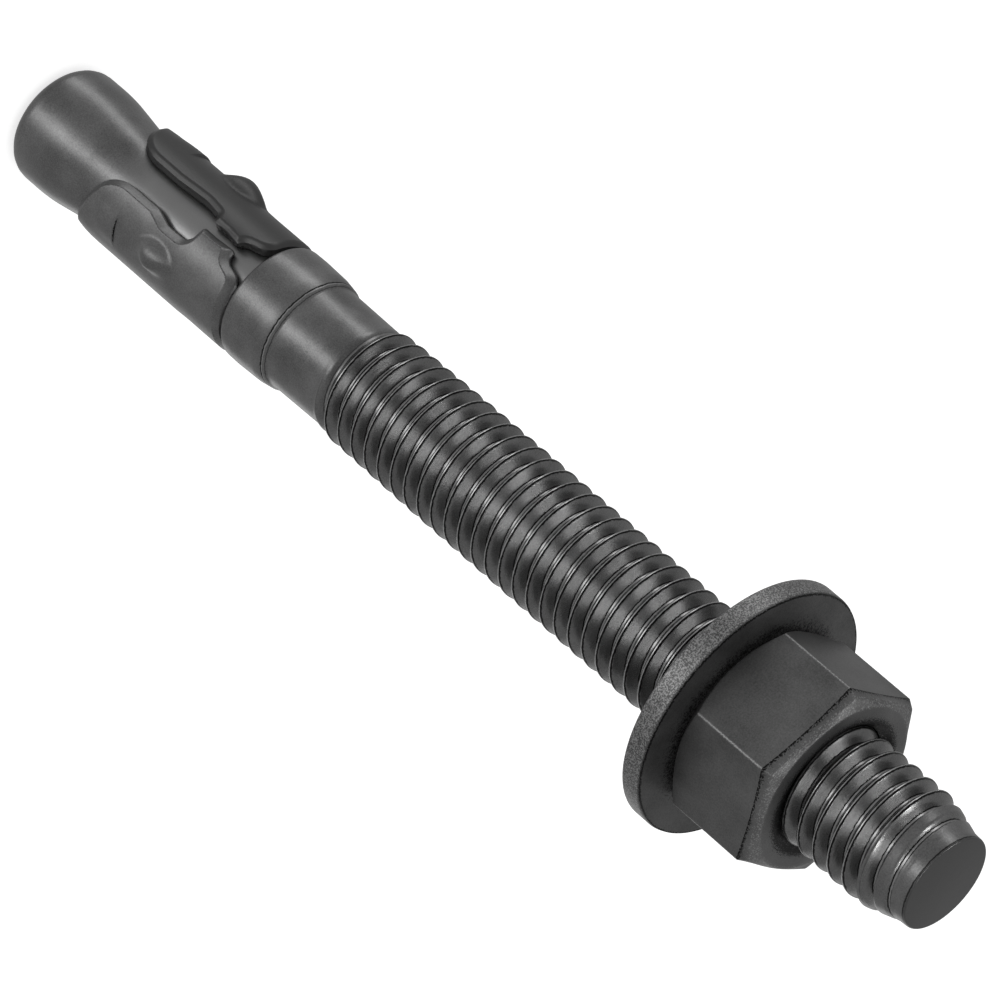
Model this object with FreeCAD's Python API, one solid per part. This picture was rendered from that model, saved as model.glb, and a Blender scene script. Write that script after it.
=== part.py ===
import FreeCAD, Part
import math
import os
from FreeCAD import Base, Vector
from Part import Geom2d

os.makedirs("parts", exist_ok=True)

# The stud stands upright on its cone end.
# Z runs along the stud axis, from the foot at zero up to the threaded end.
# Angles are measured about Z from +X. The seam of the clip is on the -Y side.

# thread, 1/2 in coarse
INCH = 25.4
THREAD_MAJOR_R = INCH / 4.0

# stud: cone end and neck
CONE_R = 6.52
CONE_ROUND = 1.87
CONE_ROUND_STEPS = 3
TAPER_SLOPE = 0.155
TAPER_TOP = 15.5
TAPER_BLEND = 1.5
NECK_R = 4.95

# stud: collar behind the clip
COLLAR_FRONT = 33.5
COLLAR_R = 6.5
COLLAR_CHAMFER = 0.45
COLLAR_SHOULDER_R = 6.42
COLLAR_SHOULDER = 38.2
COLLAR_REAR_R = 6.18
COLLAR_REAR = 39.8
SHANK_START_R = 5.89
SHANK_START = 40.2

# stud: shank, threaded length and end
SHANK_END_R = 5.8
SHANK_END = 46.4
THREAD_START = 48.2
END_CHAMFER = 123.1
TIP_R = 5.2
TIP_START = 126.9
TIP_END_R = 5.05
TIP_CHAMFER = 0.5
STUD_LENGTH = 128.2

# expansion clip: one sheet wrapped round the neck
BAND_R = 6.5
LEAF_R = 6.56
BAND_FRONT = 27.4
LEAF_REAR = 25.8
CLIP_REAR = 33.0
CLIP_REAR_CHAMFER = 0.25
NECK_CLEARANCE = 0.35
CONE_CLEARANCE = 0.12
NOSE_TOP = 12.6
NOSE_BEND_R = 6.35
NOSE_BEND = 10.7
NOSE_R = 5.96
NOSE = 9.85

# leaves and slots, as angles about Z
LEAF_A_START = -88.5
LEAF_A_WIDTH = 102.5
LEAF_WIDTH = 94.0
SLOT_WIDTH = 18.0
SLOT_TOP = 25.6
SLOT_ROUND = 1.0
SHOULDER_A = 13.7
SHOULDER_B = 13.3
SHOULDER_ROUND = 4.0
TOE = 9.1
TOE_ROUND = 1.8
MID_TIP = 9.9
MID_TIP_ROUND = 2.6
CORNER_STEPS = 4

# open seam between the sheet's two ends, with a relief in leaf A before it and a notch behind it
SEAM_SLOT_TOP = 25.8
SEAM_FRONT_WIDTH = 9.5
SEAM_REAR_WIDTH = 6.0
SEAM_CORNER_ROUND = 0.3
SEAM_ANGLE = -108.0
RELIEF_WIDTH = 7.0
RELIEF_FRONT = 20.6
RELIEF_SHOULDER = 22.4
RELIEF_ROUND = 1.0
NOTCH_LEAN = 2.5
NOTCH_FRONT = 30.2
NOTCH_FLOOR_WIDTH = 24.0
NOTCH_WIDTH = 40.0
NOTCH_ROUND = 1.2

# pressed humps, one nub and one low ramp on each leaf
HUMP_FROM_LEAF_A = 39.5
HUMP_FROM_LEAF_B = 53.0
HUMP_INNER_R = 5.8
HUMP_OUTER_R = 9.0
NUB_AXIS_R = 5.9
NUB_FOOT_R = 6.2
NUB_WAIST_R = 6.75
NUB_SHOULDER_R = 7.42
NUB_TOP_R = 7.81
NUB_CENTRE = 23.13
NUB_TOP_HALF = 0.45
NUB_SHOULDER_HALF = 1.6
NUB_WAIST_HALF = 2.8
NUB_FOOT_HALF = 3.7
RAMP_AXIS_R = 3.14
RAMP_FRONT_R = 6.4
RAMP_FRONT = 13.2
RAMP_RISE_R = 6.68
RAMP_RISE = 14.5
RAMP_TOP_R = 6.78
RAMP_TOP = 15.8
RAMP_REAR = 17.0

# washer
WASHER_R = 13.5
WASHER_BORE_R = 6.75
WASHER_BASE = 99.9
WASHER_TOP = 102.3
WASHER_CHAMFER = 0.3
WASHER_BORE_CHAMFER = 0.2

# hex nut
NUT_ACROSS_FLATS = 0.75 * INCH
NUT_HEIGHT = 11.3
NUT_TURN = -14.5
NUT_BORE_CLEARANCE = 0.1
NUT_FACE_R = 9.3
NUT_FACE_ANGLE = 30.0
NUT_BASE_R = 9.0
NUT_BASE_ANGLE = 36.0
NUT_SINK_R = 6.8
NUT_SINK_DEPTH = 0.6

AXIS = Vector(0.0, 0.0, 1.0)
ORIGIN = Vector(0.0, 0.0, 0.0)


def at(radius, height):
    return Vector(radius, 0.0, height)


def revolved(profile, centre=ORIGIN):
    """solid swept by a closed radius-height profile about a vertical axis"""
    points = [at(radius, height) for radius, height in profile]
    wire = Part.makePolygon(points + points[:1])
    return Part.Face(wire).revolve(centre, AXIS, 360.0)


# stud: one turned profile, with the start of the taper blended in
taper_start = TAPER_TOP - (CONE_R - NECK_R) / TAPER_SLOPE
foot_round = []
for step in range(CONE_ROUND_STEPS + 1):
    angle = math.pi / 2.0 * step / CONE_ROUND_STEPS
    radius = CONE_R - CONE_ROUND + CONE_ROUND * math.sin(angle)
    foot_round.append((radius, CONE_ROUND - CONE_ROUND * math.cos(angle)))
stud = revolved([(0.0, 0.0)] + foot_round + [
    (CONE_R, taper_start - TAPER_BLEND),
    (CONE_R - TAPER_SLOPE * TAPER_BLEND, taper_start + TAPER_BLEND),
    (NECK_R, TAPER_TOP),
    (NECK_R, COLLAR_FRONT),
    (COLLAR_R - COLLAR_CHAMFER, COLLAR_FRONT),
    (COLLAR_R, COLLAR_FRONT + COLLAR_CHAMFER),
    (COLLAR_SHOULDER_R, COLLAR_SHOULDER),
    (COLLAR_REAR_R, COLLAR_REAR),
    (SHANK_START_R, SHANK_START),
    (SHANK_END_R, SHANK_END),
    (THREAD_MAJOR_R, THREAD_START),
    (THREAD_MAJOR_R, END_CHAMFER),
    (TIP_R, TIP_START),
    (TIP_END_R, STUD_LENGTH - TIP_CHAMFER),
    (TIP_END_R - TIP_CHAMFER, STUD_LENGTH),
    (0.0, STUD_LENGTH),
])

# clip outline: corners as angle, height and rounding, drawn on a thick sleeve
sheet_inner_r = NECK_R + NECK_CLEARANCE
sleeve = Part.Cylinder()
sleeve.Radius = HUMP_OUTER_R
leaf_a_end = LEAF_A_START + LEAF_A_WIDTH
leaf_c_start = leaf_a_end + SLOT_WIDTH
leaf_c_end = leaf_c_start + LEAF_WIDTH
leaf_b_start = leaf_c_end + SLOT_WIDTH
leaf_b_end = leaf_b_start + LEAF_WIDTH
seam_end = SEAM_ANGLE + 360.0
notch_angle = SEAM_ANGLE + NOTCH_LEAN
notch_end = notch_angle + 360.0
relief_angle = LEAF_A_START + RELIEF_WIDTH
corners = [
    (LEAF_A_START, SHOULDER_A, SHOULDER_ROUND),
    (leaf_a_end, TOE, TOE_ROUND),
    (leaf_a_end, SLOT_TOP, SLOT_ROUND),
    (leaf_c_start, SLOT_TOP, SLOT_ROUND),
    (leaf_c_start, MID_TIP, MID_TIP_ROUND),
    (leaf_c_end, MID_TIP, MID_TIP_ROUND),
    (leaf_c_end, SLOT_TOP, SLOT_ROUND),
    (leaf_b_start, SLOT_TOP, SLOT_ROUND),
    (leaf_b_start, TOE, TOE_ROUND),
    (leaf_b_end, SHOULDER_B, SHOULDER_ROUND),
    (leaf_b_end, SEAM_SLOT_TOP, SEAM_CORNER_ROUND),
    (seam_end - SEAM_FRONT_WIDTH / 2.0, SEAM_SLOT_TOP, SEAM_CORNER_ROUND),
    (seam_end - SEAM_REAR_WIDTH / 2.0, NOTCH_FRONT, SEAM_CORNER_ROUND),
    (notch_end - NOTCH_FLOOR_WIDTH / 2.0, NOTCH_FRONT, NOTCH_ROUND),
    (notch_end - NOTCH_WIDTH / 2.0, CLIP_REAR, NOTCH_ROUND),
    (notch_angle + NOTCH_WIDTH / 2.0, CLIP_REAR, NOTCH_ROUND),
    (notch_angle + NOTCH_FLOOR_WIDTH / 2.0, NOTCH_FRONT, NOTCH_ROUND),
    (SEAM_ANGLE + SEAM_REAR_WIDTH / 2.0, NOTCH_FRONT, SEAM_CORNER_ROUND),
    (SEAM_ANGLE + SEAM_FRONT_WIDTH / 2.0, SEAM_SLOT_TOP, SEAM_CORNER_ROUND),
    (relief_angle, SEAM_SLOT_TOP, RELIEF_ROUND),
    (relief_angle, RELIEF_SHOULDER, RELIEF_ROUND),
    (LEAF_A_START, RELIEF_FRONT, RELIEF_ROUND),
]
flat = [Vector(math.radians(angle - SEAM_ANGLE) * LEAF_R, height, 0.0) for angle, height, radius in corners]


def on_sleeve(point):
    return Base.Vector2d(point.x / LEAF_R, point.y)


def corner_arc(before, corner, after, radius):
    """points along the arc that rounds a corner of the flat sheet"""
    inward = (before - corner).normalize()
    onward = (after - corner).normalize()
    half = inward.getAngle(onward) / 2.0
    centre = corner + (inward + onward).normalize() * (radius / math.sin(half))
    start = corner + inward * (radius / math.tan(half)) - centre
    end = corner + onward * (radius / math.tan(half)) - centre
    sweep = start.getAngle(end)
    points = []
    for step in range(CORNER_STEPS + 1):
        share = step / CORNER_STEPS
        blend = start * math.sin((1.0 - share) * sweep) + end * math.sin(share * sweep)
        points.append(centre + blend * (1.0 / math.sin(sweep)))
    return points


arcs = []
for index, (angle, height, radius) in enumerate(corners):
    after = flat[(index + 1) % len(flat)]
    arcs.append(corner_arc(flat[index - 1], flat[index], after, radius))
outline = []
for index, points in enumerate(arcs):
    curve = Geom2d.BSplineCurve2d()
    curve.interpolate([on_sleeve(point) for point in points])
    side = (points[-1], arcs[(index + 1) % len(arcs)][0])
    outline.append(curve.toShape(sleeve))
    outline.append(Geom2d.Line2dSegment(on_sleeve(side[0]), on_sleeve(side[1])).toShape(sleeve))
cut_face = Part.Face(sleeve, Part.Wire(outline))
cutter = cut_face.makeOffsetShape(NECK_R - NECK_CLEARANCE - HUMP_OUTER_R, 1e-4, fill=True)
cutter.rotate(ORIGIN, AXIS, SEAM_ANGLE)

# sheet section: clear of the neck, and thinned at the nose to ride over the cone
nose_inner_r = NECK_R + (TAPER_TOP - NOSE) * TAPER_SLOPE + CONE_CLEARANCE
inner_bend = TAPER_TOP - (NECK_CLEARANCE - CONE_CLEARANCE) / TAPER_SLOPE
sheet = revolved([
    (nose_inner_r, NOSE),
    (sheet_inner_r, inner_bend),
    (sheet_inner_r, CLIP_REAR),
    (BAND_R - CLIP_REAR_CHAMFER, CLIP_REAR),
    (BAND_R, CLIP_REAR - CLIP_REAR_CHAMFER),
    (BAND_R, BAND_FRONT),
    (LEAF_R, LEAF_REAR),
    (LEAF_R, NOSE_TOP),
    (NOSE_BEND_R, NOSE_BEND),
    (NOSE_R, NOSE),
])
expansion_clip = sheet.common(cutter)

# pressed humps, each a barrel set into the sheet
hump_zone = Part.makeCylinder(HUMP_OUTER_R, CLIP_REAR)
hump_zone = hump_zone.cut(Part.makeCylinder(HUMP_INNER_R, CLIP_REAR))
nub = revolved(
    [
        (NUB_AXIS_R, NUB_CENTRE - NUB_FOOT_HALF),
        (NUB_FOOT_R, NUB_CENTRE - NUB_FOOT_HALF),
        (NUB_WAIST_R, NUB_CENTRE - NUB_WAIST_HALF),
        (NUB_SHOULDER_R, NUB_CENTRE - NUB_SHOULDER_HALF),
        (NUB_TOP_R, NUB_CENTRE - NUB_TOP_HALF),
        (NUB_TOP_R, NUB_CENTRE + NUB_TOP_HALF),
        (NUB_SHOULDER_R, NUB_CENTRE + NUB_SHOULDER_HALF),
        (NUB_WAIST_R, NUB_CENTRE + NUB_WAIST_HALF),
        (NUB_FOOT_R, NUB_CENTRE + NUB_FOOT_HALF),
        (NUB_AXIS_R, NUB_CENTRE + NUB_FOOT_HALF),
    ],
    at(NUB_AXIS_R, 0.0),
)
ramp = revolved(
    [
        (RAMP_AXIS_R, RAMP_FRONT),
        (RAMP_FRONT_R, RAMP_FRONT),
        (RAMP_RISE_R, RAMP_RISE),
        (RAMP_TOP_R, RAMP_TOP),
        (RAMP_TOP_R, RAMP_REAR),
        (RAMP_AXIS_R, RAMP_REAR),
    ],
    at(RAMP_AXIS_R, 0.0),
)
humps = [nub.common(hump_zone), ramp.common(hump_zone)]
hump_angles = [
    LEAF_A_START + HUMP_FROM_LEAF_A,
    (leaf_c_start + leaf_c_end) / 2.0,
    leaf_b_end - HUMP_FROM_LEAF_B,
]
for angle in hump_angles:
    for hump in humps:
        placed = hump.copy()
        placed.rotate(ORIGIN, AXIS, angle)
        expansion_clip = expansion_clip.fuse(placed)

# washer
washer = revolved([
    (WASHER_BORE_R, WASHER_BASE + WASHER_BORE_CHAMFER),
    (WASHER_BORE_R + WASHER_BORE_CHAMFER, WASHER_BASE),
    (WASHER_R - WASHER_CHAMFER, WASHER_BASE),
    (WASHER_R, WASHER_BASE + WASHER_CHAMFER),
    (WASHER_R, WASHER_TOP - WASHER_CHAMFER),
    (WASHER_R - WASHER_CHAMFER, WASHER_TOP),
    (WASHER_BORE_R + WASHER_BORE_CHAMFER, WASHER_TOP),
    (WASHER_BORE_R, WASHER_TOP - WASHER_BORE_CHAMFER),
])

# hex nut, seated on the washer
nut_base = WASHER_TOP
nut_top = nut_base + NUT_HEIGHT
nut_corner_r = NUT_ACROSS_FLATS / math.sqrt(3.0)
nut_bore_r = THREAD_MAJOR_R + NUT_BORE_CLEARANCE
nut_corners = []
for index in range(7):
    angle = math.radians(NUT_TURN + 60.0 * index)
    nut_corners.append(Vector(nut_corner_r * math.cos(angle), nut_corner_r * math.sin(angle), nut_base))
hexagon = Part.Face(Part.makePolygon(nut_corners)).extrude(Vector(0.0, 0.0, NUT_HEIGHT))
base_rise = (nut_corner_r - NUT_BASE_R) * math.tan(math.radians(NUT_BASE_ANGLE))
face_drop = (nut_corner_r - NUT_FACE_R) * math.tan(math.radians(NUT_FACE_ANGLE))
blank = revolved([
    (nut_bore_r, nut_base + NUT_SINK_DEPTH),
    (NUT_SINK_R, nut_base),
    (NUT_BASE_R, nut_base),
    (nut_corner_r, nut_base + base_rise),
    (nut_corner_r, nut_top - face_drop),
    (NUT_FACE_R, nut_top),
    (NUT_SINK_R, nut_top),
    (nut_bore_r, nut_top - NUT_SINK_DEPTH),
])
hex_nut = hexagon.common(blank)

stud.exportStep("parts/stud.step")
expansion_clip.exportStep("parts/expansion_clip.step")
washer.exportStep("parts/washer.step")
hex_nut.exportStep("parts/hex_nut.step")
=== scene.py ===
import math

import bpy
import bmesh
import numpy as np
from mathutils import Matrix, Vector
from mathutils.geometry import delaunay_2d_cdt


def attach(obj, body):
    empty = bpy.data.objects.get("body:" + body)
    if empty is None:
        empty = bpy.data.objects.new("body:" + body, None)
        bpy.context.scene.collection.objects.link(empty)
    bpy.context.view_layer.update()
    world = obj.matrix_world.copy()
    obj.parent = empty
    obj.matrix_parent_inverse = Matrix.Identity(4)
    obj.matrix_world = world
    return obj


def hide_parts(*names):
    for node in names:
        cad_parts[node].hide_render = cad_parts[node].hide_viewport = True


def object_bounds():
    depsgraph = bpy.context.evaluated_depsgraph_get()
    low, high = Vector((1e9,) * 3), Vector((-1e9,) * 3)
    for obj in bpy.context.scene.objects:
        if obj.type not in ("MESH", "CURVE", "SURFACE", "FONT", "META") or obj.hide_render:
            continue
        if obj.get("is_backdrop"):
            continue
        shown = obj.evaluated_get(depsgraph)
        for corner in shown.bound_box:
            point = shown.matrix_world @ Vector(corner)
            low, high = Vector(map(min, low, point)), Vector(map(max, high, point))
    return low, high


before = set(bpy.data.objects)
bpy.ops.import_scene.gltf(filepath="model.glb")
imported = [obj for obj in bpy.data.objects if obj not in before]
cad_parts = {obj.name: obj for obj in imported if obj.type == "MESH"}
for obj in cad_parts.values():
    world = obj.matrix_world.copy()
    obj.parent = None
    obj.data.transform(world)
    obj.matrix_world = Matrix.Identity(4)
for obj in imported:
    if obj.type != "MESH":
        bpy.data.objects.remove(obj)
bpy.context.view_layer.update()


# Stud, turned length
# The stud is one cold-formed steel bar that stands on its cone end: a rounded cone, a tapered neck
# under the clip, a collar behind it and a bare shank. Sizes are in millimetres.
MM = 0.001
STUD_SEGMENTS = 96
CONE_R = 6.52
CONE_FOOT_ROUND = 1.87
NECK_R = 4.95
TAPER_SLOPE = 0.155
TAPER_TOP = 15.5
COLLAR_FROM = 33.5
COLLAR_R = 6.51
SHOULDER_R = 6.4
SHOULDER_FROM = 38.4
SHANK_R = 5.8
SHANK_FROM = 40.15
THREAD_FROM = 46.6
BAR_TOP = 128.2


def polar(radius, angle, height):
    """place in metres of a point given round the axis in millimetres and radians"""
    return (radius * MM * math.cos(angle), radius * MM * math.sin(angle), height * MM)


def rounded(corners, closed, steps=6):
    """points of a flat path whose corners (x, y, rounding) are replaced by arcs"""
    points = []
    count = len(corners)
    for index, (x, y, radius) in enumerate(corners):
        corner = Vector((x, y))
        if radius == 0.0 or (not closed and index in (0, count - 1)):
            points.append(corner)
            continue
        before = Vector(corners[index - 1][:2]) - corner
        after = Vector(corners[(index + 1) % count][:2]) - corner
        half = before.angle(after) / 2.0
        inward = before.normalized()
        onward = after.normalized()
        centre = corner + (inward + onward).normalized() * (radius / math.sin(half))
        start = corner + inward * (radius / math.tan(half)) - centre
        end = corner + onward * (radius / math.tan(half)) - centre
        sweep = start.angle(end)
        for step in range(steps + 1):
            share = step / steps
            blend = start * math.sin((1.0 - share) * sweep) + end * math.sin(share * sweep)
            points.append(centre + blend / math.sin(sweep))
    return points


def turned(profile, segments):
    """lathe mesh of a radius-height profile, closed where the radius is zero"""
    mesh = bmesh.new()
    rings = []
    for radius, height in profile:
        if radius < 1e-6:
            rings.append([mesh.verts.new((0.0, 0.0, height * MM))])
            continue
        angles = [2.0 * math.pi * index / segments for index in range(segments)]
        rings.append([mesh.verts.new(polar(radius, angle, height)) for angle in angles])
    for lower, upper in zip(rings, rings[1:]):
        for index in range(segments):
            onward = (index + 1) % segments
            corners = [lower[index % len(lower)], lower[onward % len(lower)]]
            corners += [upper[onward % len(upper)], upper[index % len(upper)]]
            mesh.faces.new(list(dict.fromkeys(corners)))
    return mesh


def finished(mesh, name, material, crease=40.0):
    """a smooth-shaded object from a mesh, with its normals turned outwards"""
    bmesh.ops.recalc_face_normals(mesh, faces=mesh.faces)
    data = bpy.data.meshes.new(name)
    mesh.to_mesh(data)
    mesh.free()
    data.shade_smooth()
    data.set_sharp_from_angle(angle=math.radians(crease))
    # clearing also puts the thread's faces back on the first material slot
    data.materials.clear()
    data.materials.append(material)
    piece = bpy.data.objects.new(name, data)
    bpy.context.scene.collection.objects.link(piece)
    return piece


def linear(hex_code):
    """linear colour of an sRGB hex value"""
    parts = [int(hex_code[index:index + 2], 16) / 255.0 for index in (0, 2, 4)]
    parts = [part / 12.92 if part <= 0.04045 else ((part + 0.055) / 1.055) ** 2.4 for part in parts]
    return parts + [1.0]


def node(tree, kind, inputs=None, stops=(), **settings):
    """one node with its settings; an input is given a value or the socket that it is linked from,
    and a ramp's stops are places with a grey or a colour"""
    made = tree.nodes.new(kind)
    for name, value in settings.items():
        setattr(made, name, value)
    for socket, value in (inputs or {}).items():
        if isinstance(value, bpy.types.NodeSocket):
            tree.links.new(value, made.inputs[socket])
        else:
            made.inputs[socket].default_value = value
    if stops:
        elements = made.color_ramp.elements
        while len(elements) < len(stops):
            elements.new(1.0)
        for element, (place, colour) in zip(elements, stops):
            element.position = place
            element.color = (colour,) * 4 if isinstance(colour, float) else colour
    return made


def tinted(material, amount, colour):
    """lays another colour over the finish, by an amount that varies over the piece"""
    tree = material.node_tree
    target = tree.nodes["Principled BSDF"].inputs["Base Color"]
    under = target.links[0].from_socket
    over = node(tree, "ShaderNodeMix", {0: amount, 6: under, 7: linear(colour)}, data_type="RGBA")
    tree.links.new(over.outputs[2], target)


CLOUD_MM = 4.0
SPECKLE_SHARE = 0.55
SPECKLE_GAIN = -8.0
SPECKLE_START = 1.6
WEAR_GAIN = 4.0
SCORE_AND_SHADE_GAIN = 5.0
SCORE_AND_SHADE_COLOUR = "0A0A0A"
ROUGHNESS_SPREAD = 0.05
METALLIC = 0.85
MOTTLE_STOPS = (0.35, 0.65)


def dark_steel(name, base, pale, worn, roughness, grain_mm, grain_depth, speckle_mm):
    """dark chemical finish on steel: two greys in clouds and fine speckle, and a grain in the bump;
    it is paler where the piece's wear attribute is high, and nearly black where its attribute for
    score marks and painted shade is high"""
    material = bpy.data.materials.new(name)
    material.use_nodes = True
    tree = material.node_tree
    shader = tree.nodes["Principled BSDF"]
    shader.inputs["Metallic"].default_value = METALLIC
    place = node(tree, "ShaderNodeTexCoord").outputs["Object"]
    cloud = node(tree, "ShaderNodeTexNoise", {
        "Vector": place, "Scale": 1.0 / (CLOUD_MM * MM), "Detail": 4.0}).outputs["Fac"]
    fine = node(tree, "ShaderNodeTexNoise", {
        "Vector": place, "Scale": 1.0 / (grain_mm * MM), "Detail": 3.0}).outputs["Fac"]
    speckle = node(tree, "ShaderNodeTexNoise", {
        "Vector": place, "Scale": 1.0 / (speckle_mm * MM), "Detail": 4.0, "Roughness": 0.65,
    }).outputs["Fac"]
    grey = node(tree, "ShaderNodeMix", {0: SPECKLE_SHARE, 2: cloud, 3: speckle}).outputs[0]
    stops = list(zip(MOTTLE_STOPS, (linear(base), linear(pale))))
    mottled = node(tree, "ShaderNodeValToRGB", {0: grey}, stops)
    tree.links.new(mottled.outputs[0], shader.inputs["Base Color"])
    cut = node(tree, "ShaderNodeMath", {0: speckle, 1: SPECKLE_GAIN, 2: SPECKLE_START},
               operation="MULTIPLY_ADD").outputs[0]
    for attribute, gain, colour in (
            ("wear", WEAR_GAIN, worn), ("score_and_shade", SCORE_AND_SHADE_GAIN, SCORE_AND_SHADE_COLOUR)):
        amount = node(tree, "ShaderNodeAttribute", attribute_name=attribute).outputs["Fac"]
        amount = node(tree, "ShaderNodeMath", {0: amount, 1: gain, 2: cut},
                      operation="MULTIPLY_ADD", use_clamp=True).outputs[0]
        tinted(material, amount, colour)
    rough = node(tree, "ShaderNodeMapRange", {
        "Value": cloud, "To Min": roughness - ROUGHNESS_SPREAD,
        "To Max": roughness + ROUGHNESS_SPREAD})
    tree.links.new(rough.outputs[0], shader.inputs["Roughness"])
    bump = node(tree, "ShaderNodeBump", {
        "Height": fine, "Distance": grain_depth * MM, "Strength": 1.0})
    tree.links.new(bump.outputs[0], shader.inputs["Normal"])
    return material


# Dark finish on turned and rolled steel: satin, with ragged rings of score marks round the collar's
# shoulder and the end face, a neck painted paler as painted light, and a thread whose crests are
# rubbed bright and carry painted highlights, with painted highlights in its roots, beside lines of
# painted shade. The grain and the speckle are drawn coarse enough to show.
stud_finish = dark_steel(
    "black finish on turned steel", base="565656", pale="7C7C7C", worn="A8A8A8",
    roughness=0.27, grain_mm=0.22, grain_depth=0.006, speckle_mm=0.14)
RAGGED_MM = 0.5
stud_tree = stud_finish.node_tree
stud_place = node(stud_tree, "ShaderNodeTexCoord").outputs["Object"]
stud_height = node(stud_tree, "ShaderNodeSeparateXYZ", {0: stud_place}).outputs[2]
ragged = node(stud_tree, "ShaderNodeTexNoise", {
    "Vector": stud_place, "Scale": 1.0 / (RAGGED_MM * MM), "Detail": 4.0, "Roughness": 0.7,
}).outputs["Fac"]

# painted shade: the flat end is painted darker
end_shade = node(stud_tree, "ShaderNodeMapRange", {
    0: stud_height, "From Min": (BAR_TOP - 0.2) * MM, "From Max": (BAR_TOP - 0.05) * MM})
tinted(stud_finish, end_shade.outputs[0], "4E4E4E")

# rings round the shoulder and the end: the heights that the stops run between, how ragged they
# are, and the stops for each colour
RINGS = (
    (39.3, 40.7, 0.3, {
        "0C0C0C": [(0.20, 0.0), (0.24, 1.0), (0.30, 1.0), (0.34, 0.0), (0.52, 0.0), (0.58, 0.8),
                   (0.62, 0.0)],
        "A8A8A8": [(0.33, 0.0), (0.37, 0.8), (0.42, 0.0)],
    }),
    (BAR_TOP - 0.6, BAR_TOP + 0.4, 0.2, {
        "0C0C0C": [(0.38, 0.0), (0.44, 0.9), (0.52, 0.9), (0.58, 0.0)],
    }),
)
for ring_low, ring_high, raggedness, tints in RINGS:
    ring = node(stud_tree, "ShaderNodeMath", {0: ragged, 1: raggedness * MM, 2: stud_height},
                operation="MULTIPLY_ADD").outputs[0]
    ring = node(stud_tree, "ShaderNodeMapRange", {
        0: ring, "From Min": ring_low * MM, "From Max": ring_high * MM}).outputs[0]
    for colour, stops in tints.items():
        amount = node(stud_tree, "ShaderNodeValToRGB", {0: ring}, stops).outputs[0]
        tinted(stud_finish, amount, colour)

# painted light: the neck is painted paler, from the clip's nose to the collar, where it lies
# shadowed between the leaves
NECK_LIGHT = (13.0, 17.0)
neck_light = node(stud_tree, "ShaderNodeMapRange", {
    0: stud_height, "From Min": NECK_LIGHT[0] * MM, "From Max": NECK_LIGHT[1] * MM,
    "To Max": 0.9}).outputs[0]
below_collar = node(stud_tree, "ShaderNodeMath", {0: stud_height, 1: (COLLAR_FROM - 0.1) * MM},
                    operation="LESS_THAN").outputs[0]
neck_light = node(stud_tree, "ShaderNodeMath", {0: neck_light, 1: below_collar}, operation="MULTIPLY")
tinted(stud_finish, neck_light.outputs[0], "8C8C8C")

# lines along the thread: the dark ones are painted shade beside crest and root, the bright ones a
# painted highlight in the root and rubbed wear with a painted highlight on the crest; stops from
# the crest line, at 0, to the root line, at 1
LINE_RAGGED = 0.09
THREAD_SHADE_AND_HIGHLIGHT_LINES = {
    "050505": [(0.065, 0.0), (0.09, 1.0), (0.18, 1.0), (0.21, 0.0), (0.80, 0.0), (0.82, 1.0),
               (0.88, 1.0), (0.90, 0.0)],
    "9C9C9C": [(0.03, 0.9), (0.06, 0.0), (0.91, 0.0), (0.94, 0.7)],
}
from_crest = node(stud_tree, "ShaderNodeAttribute", attribute_name="from_crest").outputs["Fac"]
formed = node(stud_tree, "ShaderNodeAttribute", attribute_name="formed").outputs["Fac"]
from_crest = node(stud_tree, "ShaderNodeMath", {0: ragged, 1: LINE_RAGGED, 2: from_crest},
                  operation="MULTIPLY_ADD").outputs[0]
from_crest = node(stud_tree, "ShaderNodeMath", {0: from_crest, 1: 2.0, 2: -LINE_RAGGED},
                  operation="MULTIPLY_ADD").outputs[0]
for colour, stops in THREAD_SHADE_AND_HIGHLIGHT_LINES.items():
    line = node(stud_tree, "ShaderNodeValToRGB", {0: from_crest}, stops).outputs[0]
    line = node(stud_tree, "ShaderNodeMath", {0: line, 1: formed}, operation="MULTIPLY").outputs[0]
    tinted(stud_finish, line, colour)

# the turned length is rougher than the rolled thread
TURNED_ROUGHER = 0.07
stud_shader = stud_tree.nodes["Principled BSDF"]
rougher = node(stud_tree, "ShaderNodeMath", {0: formed, 1: -TURNED_ROUGHER, 2: TURNED_ROUGHER},
               operation="MULTIPLY_ADD").outputs[0]
rougher = node(stud_tree, "ShaderNodeMath", {
    0: rougher, 1: stud_shader.inputs["Roughness"].links[0].from_socket}, operation="ADD")
stud_tree.links.new(rougher.outputs[0], stud_shader.inputs["Roughness"])

# fine turning marks round the collar and the shank, as a second layer of bump
MARK_MM = 0.16
MARK_DEPTH = 0.012
drawn_out = node(stud_tree, "ShaderNodeMapping", {"Vector": stud_place, "Scale": (0.1, 0.1, 1.0)})
marks = node(stud_tree, "ShaderNodeTexNoise", {
    "Vector": drawn_out.outputs[0], "Scale": 1.0 / (MARK_MM * MM), "Detail": 3.0}).outputs["Fac"]
past_neck = node(stud_tree, "ShaderNodeMapRange", {
    0: stud_height, "From Min": (COLLAR_FROM - 0.5) * MM, "From Max": (COLLAR_FROM + 0.5) * MM})
marks_bump = node(stud_tree, "ShaderNodeBump", {
    "Height": marks, "Distance": MARK_DEPTH * MM, "Strength": past_neck.outputs[0],
    "Normal": stud_shader.inputs["Normal"].links[0].from_socket})
stud_tree.links.new(marks_bump.outputs[0], stud_shader.inputs["Normal"])

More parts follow.
